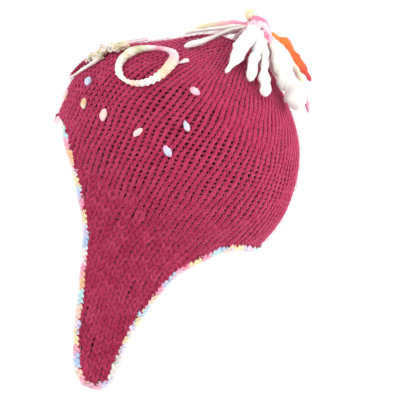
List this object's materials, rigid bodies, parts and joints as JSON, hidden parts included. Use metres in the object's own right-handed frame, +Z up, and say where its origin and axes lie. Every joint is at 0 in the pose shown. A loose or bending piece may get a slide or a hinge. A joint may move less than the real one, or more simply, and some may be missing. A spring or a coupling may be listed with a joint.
{
  "type": "chullo hat",
  "caption": "Knitted winter hat with long earflaps, crocheted edging, a looped yarn flower and a tassel on the crown.",
  "frame": {"origin": "middle of the head opening, where the hat sits on a head", "axes": "+Z up, +Y from the forehead to the nape, +X to the wearer's left"},
  "size_m": [0.169, 0.2228, 0.3248],
  "materials": {
    "raspberry_wool": "matt fuzzy wool",
    "variegated_yarn": "matt pastel yarn",
    "petal_yarn": "matt thick and thin yarn",
    "slub_yarn": "soft unspun slub yarn"
  },
  "bodies": {
    "root": {"knit_body": "raspberry_wool", "edging": "variegated_yarn", "tassel": "slub_yarn", "flower_centre": "petal_yarn", "flower_loop_near": "petal_yarn", "flower_loop_front": "petal_yarn", "flower_loop_far": "petal_yarn"}
  },
  "joints": []
}
